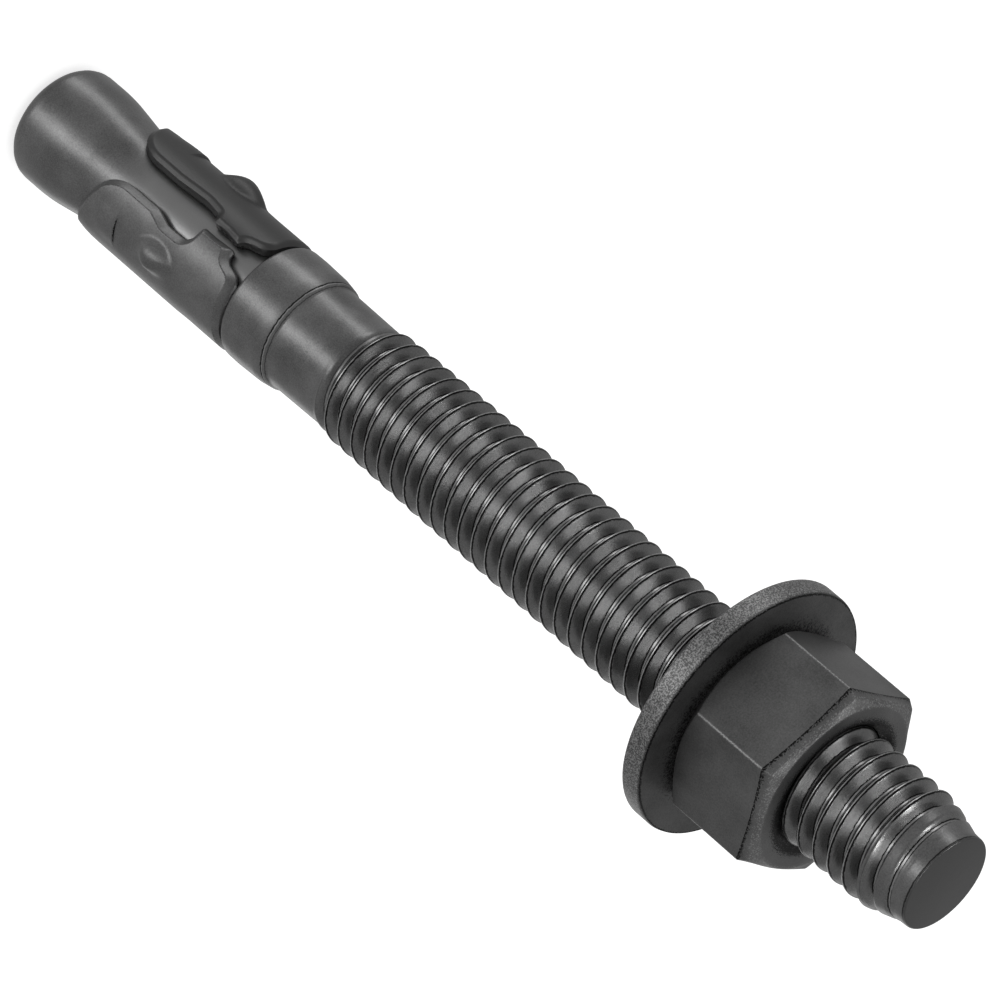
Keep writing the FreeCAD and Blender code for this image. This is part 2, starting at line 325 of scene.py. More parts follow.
# corners of the profile from the axis up to the thread: radius, height, rounding
turned_profile = rounded([
    (0.0, 0.0, 0.0),
    (CONE_R, 0.0, CONE_FOOT_ROUND),
    (CONE_R, TAPER_TOP - (CONE_R - NECK_R) / TAPER_SLOPE, 20.0),
    (NECK_R, TAPER_TOP, 3.0),
    (NECK_R, COLLAR_FROM, 0.0),
    (COLLAR_R - 0.03, COLLAR_FROM, 0.5),
    (COLLAR_R, COLLAR_FROM + 1.9, 0.0),
    (SHOULDER_R, SHOULDER_FROM, 2.0),
    (SHOULDER_R - 0.22, SHANK_FROM - 0.4, 0.0),
    (SHOULDER_R - 0.28, SHANK_FROM - 0.35, 0.0),
    (SHANK_R + 0.1, SHANK_FROM, 0.2),
    (SHANK_R, THREAD_FROM, 0.0),
], closed=False)
stud_mesh = turned(turned_profile, STUD_SEGMENTS)


# Stud, threaded length
# The thread is rolled: 13 threads to the inch, right-handed, 60 degrees, with rounded crests. It
# fades in over its first turn, with a lower crest over the next few, and a worn cone ends it just
# below the bar's flat end.
PITCH = 25.4 / 13.0
CREST_R = 6.35
ROOT_R = 5.15
CREST_LINE = 72.8
THREAD_TO = 127.0
THREAD_ROWS = 16
FADE_IN = 2.3
SOFT_CREST_R = 6.2
SOFT_TO = 61.0
END_CONE_FROM = 123.1
END_R = 5.15
END_FACE_R = 5.08
END_ROUND = 0.22
WELD = 0.001
THREAD_INPUTS = {
    "NodeSocketFloat": (
        "Pitch", "Helix Start", "From", "To", "Crest Radius", "Root Radius", "Plain Radius", "Fade",
        "Soft Crest", "Soft To", "Cone From", "Cone Slope", "Cone Top Radius"),
    "NodeSocketInt": ("Segments", "Rows", "Turns"),
    "NodeSocketMaterial": ("Material",),
}
# the flank, from the crest line to half a pitch away and from the crest down to the root
THREAD_FORM = ((0.0, 0.0), (0.125, 0.02), (0.25, 0.17), (0.5, 0.52), (0.75, 0.87), (0.875, 1.0),
               (1.0, 1.0))
# one line for each step of the arithmetic: the value's name, the operation and its terms; the turn
# share is 0 on the crest line and 0.5 on the root line
THREAD_STEPS = (
    ("Strip", "MULTIPLY", "Segments", "Turns"),
    ("Columns", "ADD", "Strip", 1.0),
    ("Lines", "ADD", "Rows", 1.0),
    ("Along Share", "ADD", "X", 0.5),
    ("Along", "MULTIPLY", "Along Share", "Turns"),
    ("Phase", "ADD", "Y", 0.5),
    ("Angle", "MULTIPLY", "Along", 2.0 * math.pi),
    ("Turn", "ADD", "Along", "Phase"),
    ("Free Height", "MULTIPLY_ADD", "Turn", "Pitch", "Helix Start"),
    ("Kept Up", "MAXIMUM", "Free Height", "From"),
    ("Height", "MINIMUM", "Kept Up", "To"),
    ("Climb", "SUBTRACT", "Height", "Helix Start"),
    ("Climb Turns", "DIVIDE", "Climb", "Pitch"),
    ("Climb Left", "SUBTRACT", "Climb Turns", "Along"),
    ("Turn Share", "FRACT", "Climb Left"),
    ("From Crest", "PINGPONG", "Turn Share", 0.5),
    ("Flank Share", "MULTIPLY", "From Crest", 2.0),
    ("Soft Share", "SUBTRACT", 1.0, "Soft"),
    ("Soft Drop", "SUBTRACT", "Crest Radius", "Soft Crest"),
    ("Soft By", "MULTIPLY", "Soft Share", "Soft Drop"),
    ("Crest", "SUBTRACT", "Crest Radius", "Soft By"),
    ("Depth", "SUBTRACT", "Crest", "Root Radius"),
    ("Cut", "MULTIPLY", "Depth", "Form"),
    ("Full Radius", "SUBTRACT", "Crest", "Cut"),
    ("Past Start", "SUBTRACT", "Height", "From"),
    ("Over Plain", "SUBTRACT", "Full Radius", "Plain Radius"),
    ("Faded Radius", "MULTIPLY_ADD", "Over Plain", "Faded", "Plain Radius"),
    ("Past Cone", "SUBTRACT", "Height", "Cone From"),
    ("Cone Drop", "MULTIPLY", "Past Cone", "Cone Slope"),
    ("Long Cone", "SUBTRACT", "Crest Radius", "Cone Drop"),
    ("Cone", "MAXIMUM", "Long Cone", "Cone Top Radius"),
    ("Uncut", "LESS_THAN", "Faded Radius", "Cone"),
    ("Radius", "MINIMUM", "Faded Radius", "Cone"),
    ("Formed", "MULTIPLY", "Faded", "Uncut"),
    ("Cosine", "COSINE", "Angle"),
    ("Sine", "SINE", "Angle"),
    ("Wound X", "MULTIPLY", "Cosine", "Radius"),
    ("Wound Y", "MULTIPLY", "Sine", "Radius"),
)


def thread_tree():
    """node tree for a strip one pitch wide, wound along the helix between two end planes"""
    tree = bpy.data.node_groups.new("screw thread", "GeometryNodeTree")
    face = tree.interface
    face.new_socket("Geometry", in_out="INPUT", socket_type="NodeSocketGeometry")
    sockets = {}
    for kind, names in THREAD_INPUTS.items():
        for name in names:
            sockets[name] = face.new_socket(name, in_out="INPUT", socket_type=kind).identifier
    face.new_socket("Geometry", in_out="OUTPUT", socket_type="NodeSocketGeometry")

    known = {socket.name: socket for socket in node(tree, "NodeGroupInput").outputs}
    flat = node(tree, "ShaderNodeSeparateXYZ", {
        0: node(tree, "GeometryNodeInputPosition").outputs[0]})
    form = node(tree, "ShaderNodeFloatCurve")
    curve = form.mapping.curves[0]
    while len(curve.points) < len(THREAD_FORM):
        curve.points.new(0.5, 0.5)
    for point, place in zip(curve.points, THREAD_FORM):
        point.location = place
        point.handle_type = "VECTOR"
    form.mapping.update()
    soft = node(tree, "ShaderNodeMapRange", {
        "From Min": known["From"], "From Max": known["Soft To"]})
    faded = node(tree, "ShaderNodeMapRange", {"From Max": known["Fade"]},
                 interpolation_type="SMOOTHSTEP")
    known.update({"X": flat.outputs[0], "Y": flat.outputs[1], "Form": form.outputs[0],
                  "Soft": soft.outputs[0], "Faded": faded.outputs[0]})
    for name, operation, *terms in THREAD_STEPS:
        inputs = {index: known.get(term, term) for index, term in enumerate(terms)}
        known[name] = node(tree, "ShaderNodeMath", inputs, operation=operation).outputs[0]
    tree.links.new(known["Flank Share"], form.inputs["Value"])
    tree.links.new(known["Height"], soft.inputs["Value"])
    tree.links.new(known["Past Start"], faded.inputs["Value"])

    mesh = node(tree, "GeometryNodeMeshGrid", {
        "Size X": 1.0, "Size Y": 1.0, "Vertices X": known["Columns"], "Vertices Y": known["Lines"],
    }).outputs["Mesh"]
    # the finish follows these two: how far from the crest line, and how fully the thread is formed
    for attribute, name in (("from_crest", "From Crest"), ("formed", "Formed")):
        mesh = node(tree, "GeometryNodeStoreNamedAttribute", {
            "Geometry": mesh, "Name": attribute, "Value": known[name]},
            data_type="FLOAT", domain="POINT").outputs[0]
    place = node(tree, "ShaderNodeCombineXYZ", {
        0: known["Wound X"], 1: known["Wound Y"], 2: known["Height"]}).outputs[0]
    mesh = node(tree, "GeometryNodeSetPosition", {"Geometry": mesh, "Position": place}).outputs[0]
    mesh = node(tree, "GeometryNodeMergeByDistance", {
        "Geometry": mesh, "Distance": 0.5 * WELD * MM}).outputs[0]
    mesh = node(tree, "GeometryNodeRealizeInstances", {"Geometry": mesh}).outputs[0]
    mesh = node(tree, "GeometryNodeSetMaterial", {
        "Geometry": mesh, "Material": known["Material"]}).outputs[0]
    node(tree, "NodeGroupOutput", {0: mesh})
    return tree, sockets


screw_thread, thread_sockets = thread_tree()


def thread_mesh(lengths, others):
    """plain mesh of the thread that the tree makes from lengths in millimetres and other inputs"""
    holder = bpy.data.objects.new("thread holder", bpy.data.meshes.new("thread holder"))
    bpy.context.scene.collection.objects.link(holder)
    modifier = holder.modifiers.new("thread", "NODES")
    modifier.node_group = screw_thread
    for name, length in lengths.items():
        modifier[thread_sockets[name]] = length * MM
    for name, value in others.items():
        modifier[thread_sockets[name]] = value
    bpy.context.view_layer.update()
    evaluated = holder.evaluated_get(bpy.context.evaluated_depsgraph_get())
    mesh = bmesh.new()
    mesh.from_mesh(bpy.data.meshes.new_from_object(evaluated))
    bpy.data.objects.remove(holder)
    bmesh.ops.dissolve_degenerate(mesh, dist=0.2 * WELD * MM, edges=mesh.edges)
    return mesh


def joined(first, second):
    """both meshes in one, welded where their rings meet"""
    data = bpy.data.meshes.new("join")
    second.to_mesh(data)
    second.free()
    first.from_mesh(data)
    bpy.data.meshes.remove(data)
    bmesh.ops.remove_doubles(first, verts=first.verts, dist=WELD * MM)
    return first


helix_start = CREST_LINE - math.floor((CREST_LINE - THREAD_FROM) / PITCH + 2.0) * PITCH
stud_thread = thread_mesh({
    "Pitch": PITCH, "Helix Start": helix_start, "From": THREAD_FROM, "To": THREAD_TO,
    "Crest Radius": CREST_R, "Root Radius": ROOT_R, "Plain Radius": SHANK_R, "Fade": FADE_IN,
    "Soft Crest": SOFT_CREST_R, "Soft To": SOFT_TO, "Cone From": END_CONE_FROM,
    "Cone Top Radius": END_R,
}, {
    "Cone Slope": (CREST_R - END_R) / (THREAD_TO - END_CONE_FROM), "Segments": STUD_SEGMENTS,
    "Rows": THREAD_ROWS, "Turns": math.ceil((THREAD_TO - helix_start) / PITCH) + 1,
    "Material": stud_finish,
})
stud_mesh = joined(stud_mesh, stud_thread)
end_profile = rounded([
    (END_R, THREAD_TO, 0.0),
    (END_FACE_R, BAR_TOP, END_ROUND),
    (0.0, BAR_TOP, 0.0),
], closed=False)
stud_mesh = joined(stud_mesh, turned(end_profile, STUD_SEGMENTS))
stud_piece = finished(stud_mesh, "threaded_stud", stud_finish, 50.0)
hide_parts("stud")
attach(stud_piece, "stud")


# Expansion clip
# The clip is one steel sheet about 1.3 mm thick, stamped to an outline and rolled round the neck,
# with three leaves that ride up the cone. Each leaf has a pressed nub and a low ramp near its tip.
SHEET_R = 6.56
BAND_R = 6.5
SHEET_INNER_R = NECK_R + 0.35
NOSE_CLEAR = 0.12
THINNEST = 0.08
SEAM_ANGLE = -108.0
LEAF_A_START = -88.5
LEAF_A_WIDTH = 102.5
LEAF_WIDTH = 94.0
SLOT_WIDTH = 18.0
SLOT_TOP = 25.6
CLIP_REAR = 33.0
NOTCH_FRONT = 30.2
SEAM_FRONT = 25.8
SLOT_ROUND = 1.0
EDGE_STEP = 0.3

leaf_a_end = LEAF_A_START + LEAF_A_WIDTH
leaf_c_start = leaf_a_end + SLOT_WIDTH
leaf_c_end = leaf_c_start + LEAF_WIDTH
leaf_b_start = leaf_c_end + SLOT_WIDTH
leaf_b_end = leaf_b_start + LEAF_WIDTH
seam_end = SEAM_ANGLE + 360.0
notch_angle = SEAM_ANGLE + 2.5
notch_end = notch_angle + 360.0
relief_angle = LEAF_A_START + 7.0
# corners against the clock in the flat sheet: degrees round the axis, height, rounding
clip_corners = [
    (LEAF_A_START, 13.7, 4.0),
    (leaf_a_end, 9.1, 1.8),
    (leaf_a_end, SLOT_TOP, SLOT_ROUND),
    (leaf_c_start, SLOT_TOP, SLOT_ROUND),
    (leaf_c_start, 9.9, 2.6),
    (leaf_c_end, 9.9, 2.6),
    (leaf_c_end, SLOT_TOP, SLOT_ROUND),
    (leaf_b_start, SLOT_TOP, SLOT_ROUND),
    (leaf_b_start, 9.1, 1.8),
    (leaf_b_end, 13.3, 4.0),
    (leaf_b_end + 0.5, 19.5, 6.0),
    (leaf_b_end - 2.5, 23.6, 3.0),
    (leaf_b_end + 0.5, SEAM_FRONT, 0.5),
    (seam_end - 4.6, SEAM_FRONT + 0.4, 0.4),
    (seam_end - 5.2, 28.0, 0.5),
    (seam_end - 2.6, NOTCH_FRONT - 0.3, 0.3),
    (notch_end - 12.0, NOTCH_FRONT + 0.1, 1.2),
    (notch_end - 20.0, CLIP_REAR, 1.8),
    (notch_angle + 20.0, CLIP_REAR, 1.8),
    (notch_angle + 12.0, NOTCH_FRONT, 1.2),
    (SEAM_ANGLE + 3.2, NOTCH_FRONT, 0.3),
    (SEAM_ANGLE + 4.6, 27.6, 0.6),
    (SEAM_ANGLE + 4.4, SEAM_FRONT, 0.4),
    (relief_angle, SEAM_FRONT - 0.2, 1.2),
    (relief_angle, 22.4, 1.0),
    (LEAF_A_START, 20.4, 2.0),
]


def round_way(degrees):
    """way round the outer face, in millimetres, of an angle round the axis"""
    return math.radians(degrees) * SHEET_R


outline = rounded([(round_way(angle), height, radius) for angle, height, radius in clip_corners],
                  closed=True)
edge = []
for index, point in enumerate(outline):
    onward = outline[(index + 1) % len(outline)]
    pieces = max(1, round((onward - point).length / EDGE_STEP))
    edge.extend(tuple(point.lerp(onward, piece / pieces)) for piece in range(pieces))
edge = np.array(edge)


def edge_distance(points):
    """distance in the flat sheet from points to its outline"""
    start = edge[None, :, :]
    side = np.roll(edge, -1, axis=0)[None, :, :] - start
    offset = points[:, None, :] - start
    share = np.clip((offset * side).sum(2) / (side * side).sum(2), 0.0, 1.0)
    return np.sqrt(((offset - share[:, :, None] * side) ** 2).sum(2)).min(1)


def inside_sheet(points):
    """whether points lie inside the flat outline"""
    x, y = points[:, 0][:, None], points[:, 1][:, None]
    ax, ay = edge[:, 0][None, :], edge[:, 1][None, :]
    bx, by = np.roll(edge[:, 0], -1)[None, :], np.roll(edge[:, 1], -1)[None, :]
    run = (bx - ax) * (y - ay) / np.where(by == ay, 1e-9, by - ay)
    crosses = ((ay > y) != (by > y)) & (x < run + ax)
    return crosses.sum(1) % 2 == 1


# each leaf's nub: its angle, half width and half length, how soft its foot is, and how fast the
# foot turns crisp to one side and to the rear
NUBS = (
    (LEAF_A_START + 39.5, 2.0, 2.8, 2.8, -1.0, 0.04),
    ((leaf_c_start + leaf_c_end) / 2.0, 2.1, 3.3, 1.9, 0.83, 0.25),
    (leaf_b_end - 53.0, 2.1, 3.3, 1.9, 0.83, 0.25),
)
NUB_HEIGHT = 23.13
NUB_RISE = 1.29
NUB_CRISP = 0.35
RAMP_END = 17.2
RAMP_SHIFT = 0.6
RAMP_HALF_WIDTH = 2.4
# height along the stud against the rise of the ramp, and against the radius of the outer face
RAMP_RISE = ((12.4, 0.0), (13.4, 0.02), (14.7, 0.15), (16.0, 0.23), (RAMP_END - 0.1, 0.24),
             (RAMP_END, 0.0))
FACE_RADIUS = ((9.85, 5.93), (10.3, 6.16), (10.7, 6.32), (11.6, 6.47), (12.6, 6.545),
               (13.4, SHEET_R), (25.6, SHEET_R), (27.6, BAND_R), (33.0, BAND_R))
# the bevel on the first leaf's side of the seam, and on the others
ROLL_WIDTH = (0.77, 0.5)
ROLL_DROP = (0.8, 0.4)
ROLL_CHANGE = (round_way(LEAF_A_START + 25.0), round_way(LEAF_A_START + 60.0))


def outer_radius(points):
    """radius of the clip's outer face over the flat sheet, with nubs, ramps and rolled edge"""
    x, z = points[:, 0], points[:, 1]
    radius = np.interp(z, *zip(*FACE_RADIUS))
    rise = np.interp(z, *zip(*RAMP_RISE))
    for angle, half_width, half_length, soft, to_side, to_rear in NUBS:
        across = x - round_way(angle)
        crisp = np.clip(NUB_CRISP + to_side * across + to_rear * (z - NUB_HEIGHT), 0.0, 1.0)
        inside = 1.0 - (across / half_width) ** 2 - ((z - NUB_HEIGHT) / half_length) ** 2
        radius = radius + NUB_RISE * np.maximum(inside, 0.0) ** (soft + (1.0 - soft) * crisp)
        low = np.clip(1.0 - ((across - RAMP_SHIFT) / RAMP_HALF_WIDTH) ** 2, 0.0, 1.0) ** 2
        radius = radius + rise * low
    near = np.clip(1.0 - edge_distance(points) / np.interp(x, ROLL_CHANGE, ROLL_WIDTH), 0.0, 1.0)
    radius = radius - np.interp(x, ROLL_CHANGE, ROLL_DROP) * near
    return np.maximum(radius, inner_radius(points) + THINNEST)


def inner_radius(points):
    """radius of the clip's inner face, which widens at the nose to ride over the cone"""
    return np.maximum(SHEET_INNER_R, NECK_R + (TAPER_TOP - points[:, 1]) * TAPER_SLOPE + NOSE_CLEAR)


TRIANGLE_HEIGHT = 0.866
ROW_KEEP = 0.93


def sheet_grid(spacing, clear):
    """staggered points inside the outline, clear of its edge"""
    low, high = edge.min(0), edge.max(0)
    rows = []
    for row, z in enumerate(np.arange(low[1], high[1], spacing * TRIANGLE_HEIGHT)):
        x = np.arange(low[0] + (row % 2) * spacing / 2.0, high[0], spacing)
        rows.append(np.stack([x, np.full(len(x), z)], 1))
    points = np.concatenate(rows)
    points = points[inside_sheet(points)]
    return points[edge_distance(points) > clear]


def edge_rows(distances):
    """points on lines a little inside the outline, so the rolled edge is smooth"""
    along = np.roll(edge, -1, axis=0) - np.roll(edge, 1, axis=0)
    along /= np.linalg.norm(along, axis=1)[:, None]
    inward = np.stack([-along[:, 1], along[:, 0]], 1)
    rows = []
    for distance in distances:
        points = edge + inward * distance
        points = points[inside_sheet(points)]
        rows.append(points[edge_distance(points) > distance * ROW_KEEP])
    return np.concatenate(rows)


# how strong the paler edge and the dark lines are, and how far each reaches
EDGE_WEAR, WEAR_REACH = 0.35, 0.3
LINE_SCORE, LINE_REACH = 0.55, 0.08
RAMP_SCORE, RAMP_SCORE_HALF = 1.0, 1.5
# painted shade on the inner face along the outline
INNER_EDGE_SHADE = 0.8
# the triangles keep to the inside of the outline, and points this close count as one
KEEP_INSIDE = 1
SAME_POINT = 1e-7


def sheet_side(mesh, points, radius_of, outer):
    """one face of the sheet, wrapped round the axis; gives its vertices along the outline"""
    flat = [Vector(point) for point in np.concatenate([edge, points])]
    loop = [(index, (index + 1) % len(edge)) for index in range(len(edge))]
    face = [list(range(len(edge)))]
    places, _, triangles = delaunay_2d_cdt(flat, loop, face, KEEP_INSIDE, SAME_POINT)[:3]
    spots = np.array([tuple(place) for place in places])
    wear = mesh.verts.layers.float["wear"]
    score_and_shade_layer = mesh.verts.layers.float["score_and_shade"]
    verts = []
    for (x, z), radius, distance in zip(spots, radius_of(spots), edge_distance(spots)):
        vert = mesh.verts.new(polar(radius, x / SHEET_R, z))
        verts.append(vert)
        if outer:
            vert[wear] = EDGE_WEAR * max(0.0, 1.0 - distance / WEAR_REACH)
            from_line = abs(distance - np.interp(x, ROLL_CHANGE, ROLL_WIDTH))
            vert[score_and_shade_layer] = LINE_SCORE * max(0.0, 1.0 - from_line / LINE_REACH)
            from_ramp = abs(x - round_way(NUBS[0][0]) - RAMP_SHIFT)
            if from_ramp < RAMP_SCORE_HALF and abs(z - RAMP_END) < 0.04:
                vert[score_and_shade_layer] = RAMP_SCORE
        # painted shade: the inner face is painted dark at the outline, so the cut edges read as
        # dark gaps
        elif distance < 0.02:
            vert[score_and_shade_layer] = INNER_EDGE_SHADE
    for triangle in triangles:
        mesh.faces.new([verts[index] for index in triangle])
    return verts[:len(edge)]


# Dark finish on stamped sheet: satin, a little paler along the rolled edges, with a dark line where
# each bevel ends. The leaf past the seam is painted darker, as painted shade.
clip_finish = dark_steel(
    "black finish on stamped sheet steel", base="5A5A5A", pale="7C7C7C", worn="8C8C8C",
    roughness=0.42, grain_mm=0.3, grain_depth=0.006, speckle_mm=0.16)
SHADED_LEAF_ANGLE = math.radians(195.5)
SHADED_LEAF_FROM = (3.3, 4.0)
clip_tree = clip_finish.node_tree
shaded_leaf_side = node(clip_tree, "ShaderNodeVectorMath", {
    0: node(clip_tree, "ShaderNodeTexCoord").outputs["Object"],
    1: (math.cos(SHADED_LEAF_ANGLE), math.sin(SHADED_LEAF_ANGLE), 0.0)}, operation="DOT_PRODUCT")
leaf_shade = node(clip_tree, "ShaderNodeMapRange", {
    0: shaded_leaf_side.outputs["Value"], "From Min": SHADED_LEAF_FROM[0] * MM, "From Max": SHADED_LEAF_FROM[1] * MM})
tinted(clip_finish, leaf_shade.outputs[0], "484848")

clip_mesh = bmesh.new()
clip_mesh.verts.layers.float.new("wear")
clip_mesh.verts.layers.float.new("score_and_shade")
# the mesh is finer across the bevels and at the step that ends each ramp
bevel_rows = edge_rows((0.1, 0.3, 0.5, 0.68, 0.77, 0.86, 0.98))
middle = sheet_grid(0.3, 1.1)
middle = middle[np.abs(middle[:, 1] - RAMP_END + 0.05) > 0.25]
ramp_ends = np.array([
    (round_way(angle) + RAMP_SHIFT + 0.12 * step, RAMP_END + row)
    for angle, *_ in NUBS for step in range(-19, 20) for row in (-0.2, -0.1, 0.0, 0.1)])
outer_points = np.concatenate([bevel_rows, middle, ramp_ends])
outer_rim = sheet_side(clip_mesh, outer_points, outer_radius, outer=True)
inner_rim = sheet_side(clip_mesh, sheet_grid(0.8, 0.5), inner_radius, outer=False)
for index in range(len(edge)):
    onward = (index + 1) % len(edge)
    clip_mesh.faces.new([outer_rim[index], inner_rim[index], inner_rim[onward], outer_rim[onward]])
clip_piece = finished(clip_mesh, "rolled_clip", clip_finish, 50.0)
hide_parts("expansion_clip")
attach(clip_piece, "clip")


# Washer
# A flat washer punched from plate: the punch leaves one rim edge rounded. The rim is rubbed bright
# in speckles while the faces stay matt, with dark residue at the rim's edge, and painted shade on
# the top face round the nut.
WASHER_R = 13.5
WASHER_BORE_R = 6.75
WASHER_BASE = 99.9
WASHER_TOP = 102.3
WASHER_MIDDLE = 101.0
WASHER_SEGMENTS = 160
# radii of the painted shade round the nut on the top face, dark within the first and faint out to
# the second
WASHER_FAINT_SHADE_R = 12.2
WASHER_SHADE_R = 9.9
WASHER_RIM_WEAR = 0.7
FACE_WEAR = 0.13
RIM_EDGE_SCORE = 0.8
WASHER_FAINT_SHADE = 0.05
WASHER_SHADE_NEAR_NUT = 0.58
# Dark finish on punched plate: matt, and bright at the rim where it has been rubbed.
washer_finish = dark_steel(
    "black finish on punched plate", base="424242", pale="5E5E5E", worn="929292",
    roughness=0.48, grain_mm=0.2, grain_depth=0.012, speckle_mm=0.16)
# corners of the section, from the bore's middle round to it again: radius, height, rounding
washer_profile = rounded([
    (WASHER_BORE_R, WASHER_MIDDLE, 0.0),
    (WASHER_BORE_R, WASHER_BASE, 0.2),
    (WASHER_R, WASHER_BASE, 0.3),
    (WASHER_R, WASHER_TOP - 0.3, 0.3),
    (WASHER_R - 0.12, WASHER_TOP, 0.06),
    (WASHER_R - 0.5, WASHER_TOP, 0.0),
    (WASHER_FAINT_SHADE_R, WASHER_TOP, 0.0),
    (WASHER_SHADE_R, WASHER_TOP, 0.0),
    (WASHER_BORE_R, WASHER_TOP, 0.25),
    (WASHER_BORE_R, WASHER_MIDDLE, 0.0),
], closed=False)
washer_mesh = turned(washer_profile, WASHER_SEGMENTS)
bmesh.ops.remove_doubles(washer_mesh, verts=washer_mesh.verts, dist=WELD * MM)
washer_wear = washer_mesh.verts.layers.float.new("wear")
washer_score_and_shade = washer_mesh.verts.layers.float.new("score_and_shade")
for vert in washer_mesh.verts:
    from_axis = vert.co.xy.length / MM
    below_top = WASHER_TOP - vert.co.z / MM
    vert[washer_wear] = WASHER_RIM_WEAR if from_axis > WASHER_R - 0.05 else FACE_WEAR
    if below_top < 0.08 and from_axis > WASHER_R - 0.25:
        vert[washer_score_and_shade] = RIM_EDGE_SCORE
    # painted shade: the top face is painted darker round the nut, fainter further out
    elif below_top < 0.01 and from_axis < WASHER_FAINT_SHADE_R + 0.1:
        vert[washer_score_and_shade] = WASHER_FAINT_SHADE if from_axis > WASHER_SHADE_R + 0.1 else WASHER_SHADE_NEAR_NUT
washer_piece = finished(washer_mesh, "punched_washer", washer_finish)
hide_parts("washer")
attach(washer_piece, "washer")


# Hex nut
# A heavy forged nut, 3/4 in across its flats, turned conical at its foot, rounded off at its outer
# face and threaded to match the stud. Its corners, foot and shoulder are rubbed a little paler.
NUT_FLAT = 0.375 * 25.4
NUT_BASE = WASHER_TOP
NUT_TOP = NUT_BASE + 11.3
NUT_TURN = -14.5
NUT_CORNER_ROUND = 0.35
NUT_FACE_R = 9.1
NUT_SHOULDER = 1.15
NUT_BASE_R = 9.0
NUT_BASE_SLOPE = math.tan(math.radians(36.0))
NUT_SINK_R = 7.2
NUT_SINK_DEPTH = 0.7
NUT_THREAD_ROWS = 12
THREAD_GAP = 0.1
SIXTH = math.radians(60.0)
CORNER_WEAR = 0.9
CORNER_REACH = 1.6
SHOULDER_WEAR = 0.62
FOOT_WEAR = 0.6
FLATS_END_SCORE = 0.75
BORE_EDGE_SHADE = 0.8
NUT_FACE_SHADE = 0.15
NUT_THREAD_SHADE = 0.7
# Dark finish on forged steel: matt, with a dark line where the flats end, and painted shade round
# the bore, on the inner top face and in the thread.
nut_finish = dark_steel(
    "black finish on forged steel", base="525252", pale="6E6E6E", worn="8C8C8C",
    roughness=0.5, grain_mm=0.22, grain_depth=0.012, speckle_mm=0.16)


def hex_radius(angle):
    """distance from the axis to the nut's side, with the corners rounded"""
    away = (angle - math.radians(NUT_TURN)) % SIXTH
    from_corner = min(away, SIXTH - away)
    centre = (NUT_FLAT - NUT_CORNER_ROUND) / math.cos(SIXTH / 2.0)
    touch = math.atan2(NUT_CORNER_ROUND * 0.5, centre + NUT_CORNER_ROUND * math.cos(SIXTH / 2.0))
    if from_corner < touch:
        side = centre * math.sin(from_corner)
        return centre * math.cos(from_corner) + math.sqrt(NUT_CORNER_ROUND ** 2 - side ** 2)
    return NUT_FLAT / math.cos(SIXTH / 2.0 - from_corner)


# degrees from one corner to the next, closer together by the corners
BY_CORNER = (0.35, 0.7, 1.0, 1.5, 2.2)
nut_steps = [0.0, *BY_CORNER, *(3.0 + 2.0 * index for index in range(28))]
nut_steps += [60.0 - step for step in reversed(BY_CORNER)]
nut_mesh = bmesh.new()
nut_wear = nut_mesh.verts.layers.float.new("wear")
nut_score_and_shade = nut_mesh.verts.layers.float.new("score_and_shade")
columns = []
for from_first in [60.0 * corner + step for corner in range(6) for step in nut_steps]:
    angle = math.radians(NUT_TURN + from_first)
    side = hex_radius(angle)
    low = NUT_BASE + (side - NUT_BASE_R) * NUT_BASE_SLOPE
    high = NUT_TOP - NUT_SHOULDER - 0.15 * (side - NUT_FLAT)
    # corners of the section from the sunk bore below to the sunk bore above
    profile = rounded([
        (NUT_SINK_R, NUT_BASE, 0.0),
        (NUT_BASE_R, NUT_BASE, 0.15),
        (side, low, 0.1),
        (side, low + 0.14, 0.0),
        (side, high - 0.1, 0.0),
        (side, high, 0.06),
        (NUT_FACE_R + 0.68 * (side - NUT_FACE_R), NUT_TOP - 0.42, 0.3),
        (NUT_FACE_R, NUT_TOP, 0.3),
        (NUT_FACE_R - 0.7, NUT_TOP, 0.0),
        (NUT_SINK_R, NUT_TOP, 0.0),
    ], closed=False, steps=3)
    from_corner = min(from_first % 60.0, -from_first % 60.0)
    corner_wear = CORNER_WEAR * max(0.0, 1.0 - from_corner / CORNER_REACH)
    column = []
    for radius, height in profile:
        vert = nut_mesh.verts.new(polar(radius, angle, height))
        column.append(vert)
        at_corner = corner_wear if radius > side - 0.1 else 0.0
        shoulder = SHOULDER_WEAR if height > high + 0.2 and radius > NUT_FACE_R - 0.2 else 0.0
        foot = FOOT_WEAR if abs(height - low) < 0.11 and radius > NUT_BASE_R + 0.2 else 0.0
        vert[nut_wear] = max(at_corner, shoulder, foot, FACE_WEAR)
        # painted shade: the top face is darker round the bore, and darkest at the bore's edge
        if height > NUT_TOP - 0.01 and radius < NUT_FACE_R - 0.6:
            vert[nut_score_and_shade] = BORE_EDGE_SHADE if radius < NUT_SINK_R + 0.1 else NUT_FACE_SHADE
        elif abs(height - high) < 0.03:
            vert[nut_score_and_shade] = FLATS_END_SCORE
    columns.append(column)
for column, onward in zip(columns, columns[1:] + columns[:1]):
    for index in range(len(column) - 1):
        nut_mesh.faces.new([column[index], onward[index], onward[index + 1], column[index + 1]])

